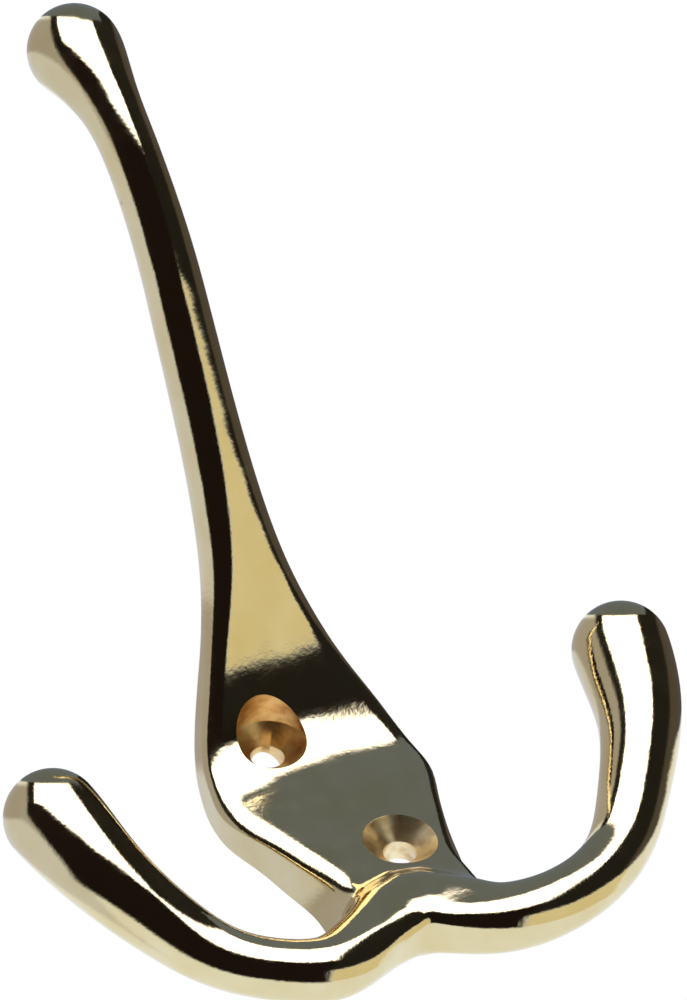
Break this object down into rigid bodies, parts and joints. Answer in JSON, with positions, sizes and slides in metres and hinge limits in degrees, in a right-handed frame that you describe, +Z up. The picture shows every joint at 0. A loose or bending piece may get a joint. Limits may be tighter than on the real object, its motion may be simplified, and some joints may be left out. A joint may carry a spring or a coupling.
{
  "type": "triple coat hook",
  "caption": "Cast brass coat hook with a long upper arm ending in a bulb, a pair of curled lower arms and a small back plate with diagonal countersunk screw holes.",
  "frame": {"origin": "on the wall, midway between the two screw holes, in the plane of the plate's back face", "axes": "+X to the right along the wall seen from the room, +Y into the wall, +Z up; the hook reaches out along -Y"},
  "size_m": [0.0952, 0.0756, 0.1205],
  "materials": {
    "polished_brass": "polished, lacquered casting"
  },
  "bodies": {
    "root": {"hook_casting": "polished_brass"}
  },
  "joints": []
}
